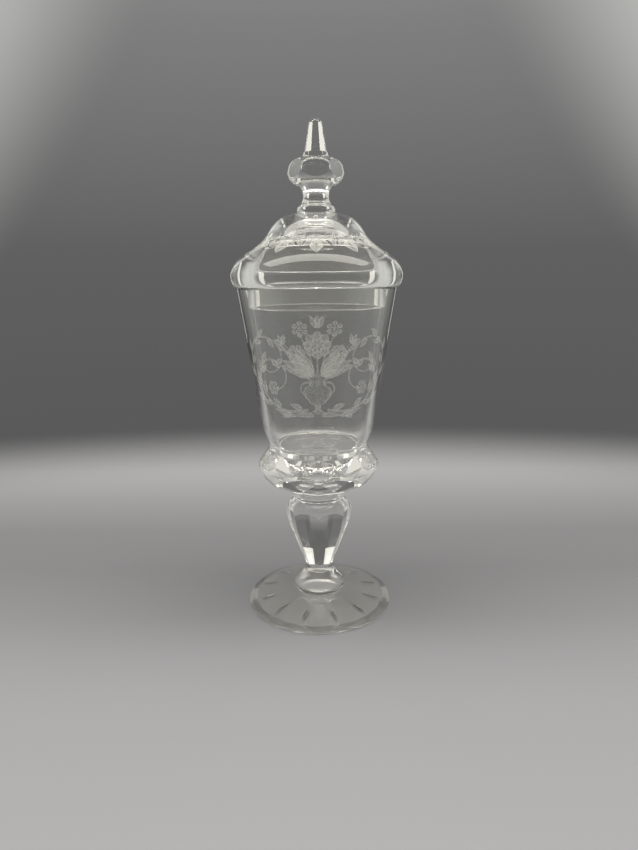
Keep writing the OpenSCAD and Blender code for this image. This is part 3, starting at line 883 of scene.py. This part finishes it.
def stroke(points, half_width, shape):
    steps = len(points) - 1
    strip = blanks[steps].copy()
    strip.data = strip.data.copy()
    bpy.context.scene.collection.objects.link(strip)
    lift = LIFT + LIFT_STEP * (len(strokes) % LIFT_COUNT)
    for vertex in strip.data.vertices:
        i = round((vertex.co.x + 0.5) * steps)
        ahead = points[min(i + 1, steps)] - points[max(i - 1, 0)]
        sideways = at(-ahead.y, ahead.x).normalized()
        spot = points[i] + sideways * (2 * vertex.co.y * half_width * shape(i / steps))
        vertex.co = (spot.x, spot.y, lift)
    strokes.append(strip)


def gather(name):
    bpy.ops.object.select_all(action="DESELECT")
    for strip in strokes:
        strip.select_set(True)
    bpy.context.view_layer.objects.active = strokes[0]
    bpy.ops.object.join()
    strokes.clear()
    design = bpy.context.object
    design.name = name
    return design


# %% [markdown]
# Leaves are widest near their stalk, petals near their tip. A stalk thins out along its way, and a curled one is a
# path whose heading turns faster and faster.

# %% Leaves, stalks and flowers
def leaf_shape(share):
    return math.sin(math.pi * share ** 0.7)


def petal_shape(share):
    return max(math.sin(math.pi * share ** 1.5), 0) ** 0.8


def stalk_shape(share):
    return 1 - 0.6 * share


def button_shape(share):
    return 2 * math.sqrt(max(share * (1 - share), 0))


def leaf(start, heading, length, curl=0.0, slim=0.2):
    stroke(trail(start, heading, length, curl), length * slim, leaf_shape)


def stalk(points, half_width=0.55):
    stroke(points, half_width, stalk_shape)


def rosette(middle, petals, reach, turned=0.0):
    for i in range(petals):
        bearing = turned + i * 360 / petals
        out = at(math.cos(math.radians(bearing)), math.sin(math.radians(bearing)))
        stroke(trail(middle + 0.22 * reach * out, bearing, 0.78 * reach), 0.3 * reach, petal_shape)
    stroke(trail(middle - at(0.2 * reach, 0), 0, 0.4 * reach), 0.2 * reach, button_shape)


def leafy(points, leaves, length, first_side):
    for k in range(leaves):
        share = 0.06 + 0.72 * k / (leaves - 1)
        i = int(share * (len(points) - 1))
        ahead = points[i + 1] - points[i]
        heading = math.degrees(math.atan2(ahead.y, ahead.x))
        side = first_side if k % 2 == 0 else -first_side
        leaf(points[i], heading + side * 50, length * (1 - 0.35 * share), -side * 40)


# %% [markdown]
# The wrap turns the flat picture into a skin: its width runs around the axis from the front, and its height climbs
# along the outline of the glass.

# %% Wrap a picture around the glass
def wrap(design, base_z, outline, ref_r):
    ends = [0.0]
    for here, there in zip(outline, outline[1:]):
        ends.append(ends[-1] + (there - here).length)
    for vertex in design.data.vertices:
        around, up_the_wall, lift = vertex.co
        i = max(k for k in range(len(outline) - 1) if k == 0 or ends[k] <= up_the_wall)
        run = (outline[i + 1] - outline[i]).normalized()
        spot = outline[i] + run * (up_the_wall - ends[i]) + lift * at(run.y, -run.x)
        bearing = math.radians(FRONT) + around / ref_r
        turned_spot = Vector((spot.x * math.cos(bearing), spot.x * math.sin(bearing), spot.y)) * MM
        vertex.co = turned_spot + Vector((0, 0, base_z))
    design.data.update()


def finish_engraving(design, body):
    bpy.ops.object.select_all(action="DESELECT")
    design.select_set(True)
    bpy.context.view_layer.objects.active = design
    bpy.ops.object.shade_smooth()
    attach(design, body)
    print(design.name, "faces:", len(design.data.polygons))


# %% [markdown]
# The bowl's picture is a classical one: an urn with a bouquet between leafy scrolls. The right half is drawn and
# mirrored, then the urn and the middle flower follow.

# %% Bouquet on the bowl
PICTURE_R = 42
PICTURE_LIFT = 8
URN_FOOT, URN_H = at(0, 5), 23
URN = (
    (0, 5.4), (0.05, 5.4), (0.09, 3.2), (0.16, 1.6), (0.24, 1.9), (0.34, 5.2), (0.48, 7.8), (0.6, 8.6), (0.7, 7.6),
    (0.8, 4.6), (0.87, 4), (0.94, 5.6), (1, 6.4))


def urn_shape(share):
    for (low, low_w), (high, high_w) in zip(URN, URN[1:]):
        if share <= high:
            return low_w + (high_w - low_w) * (1 - math.cos(math.pi * (share - low) / (high - low))) / 2


low_scroll = trail(at(6, 8), -12, 92, 60, 330, LONG_STEPS)
stalk(low_scroll, 0.8)
leafy(low_scroll, 10, 9.5, 1)
rosette(low_scroll[-1], 6, 4.6)
high_scroll = trail(at(37, 9.5), 48, 92, 66, 300, LONG_STEPS)
stalk(high_scroll, 0.7)
leafy(high_scroll, 10, 9, -1)
rosette(high_scroll[-1], 6, 4)
for heading, length in ((68, 20), (52, 22), (36, 20), (20, 15)):
    leaf(at(3, 28), heading, length, -18, 0.16)
stalk(trail(at(2, 28), 70, 15, -35))
rosette(at(11.5, 41), 7, 5.6, 10)
stalk(trail(at(1.5, 28), 82, 28, -22))
rosette(at(9, 55), 6, 4.6, 30)
stalk(trail(at(3, 28), 58, 24, -16), 0.45)
for heading in (25, 60, 95):
    leaf(at(19, 46), heading, 6.5, 10, 0.22)
stalk(trail(at(4.4, 24.2), 25, 15, -215), 0.6)
leaf(at(2, 4.5), 8, 15, -20, 0.1)
leaf(at(14, 4), 5, 18, 14, 0.08)
both_halves = gather("both_halves")
mirror = both_halves.modifiers.new("mirror", "MIRROR")
mirror.use_mirror_merge = False
bpy.ops.object.modifier_apply(modifier=mirror.name)
strokes.append(both_halves)
stroke(trail(URN_FOOT, 90, URN_H, 0, 0, LONG_STEPS), 1, urn_shape)
stalk(trail(at(0, 28), 90, 14))
rosette(at(0, 46), 8, 8)
rosette(at(0, 46), 8, 4.6, 22.5)
for heading in (62, 90, 118):
    leaf(at(0, 55.5), heading, 8)
bowl_engraving = gather("bowl_engraving")
wrap(bowl_engraving, bowl_z, [bowl_low + PICTURE_LIFT * wall_run, bowl_rim - edge_down], PICTURE_R)
finish_engraving(bowl_engraving, "goblet")

# %% [markdown]
# The garland on the lid repeats one piece of vine with a lobed leaf and a tendril. One piece is drawn, and an Array
# modifier sets the others beside it until they close the ring.

# %% Garland on the lid
VINES = 12
GARLAND_R = 37.5
VINE_V = 29.8
VINE_RISE, VINE_HALF = 32, 0.54
VINE_LEAF, LEAF_SLIM, SMALL_LEAF_SLIM = 13, 0.28, 0.25
LEAF_LOBES = ((-105, 0.5), (105, 0.5), (-55, 0.75), (55, 0.75), (0, 1))

vine_l = math.tau * GARLAND_R / VINES
stalk(trail(at(-0.28 * vine_l, VINE_V), VINE_RISE, VINE_HALF * vine_l, -2 * VINE_RISE))
stalk(trail(at(0.22 * vine_l, VINE_V), -VINE_RISE, VINE_HALF * vine_l, 2 * VINE_RISE))
for lean, share in LEAF_LOBES:
    leaf(at(0, VINE_V - 2.6), lean - 90, VINE_LEAF * share, 0, LEAF_SLIM)
stalk(trail(at(0, VINE_V + 1.3), -90, 4), 0.5)
stalk(trail(at(0.27 * vine_l, VINE_V - 0.1), 70, 9.5, -60, -330), 0.4)
leaf(at(0.44 * vine_l, VINE_V - 1.4), -60, 7.5, -30, SMALL_LEAF_SLIM)
leaf(at(0.52 * vine_l, VINE_V - 1.2), 48, 5, 30, SMALL_LEAF_SLIM)
lid_engraving = gather("lid_engraving")
row = lid_engraving.modifiers.new("row", "ARRAY")
row.count = VINES
row.use_relative_offset = False
row.use_constant_offset = True
row.constant_offset_displace = (vine_l, 0, 0)
bpy.ops.object.modifier_apply(modifier=row.name)
wrap(lid_engraving, lid_z, lid_outside[CURVE_STEPS - 1:], GARLAND_R)
finish_engraving(lid_engraving, "lid")
for blank in blanks.values():
    bpy.data.objects.remove(blank)
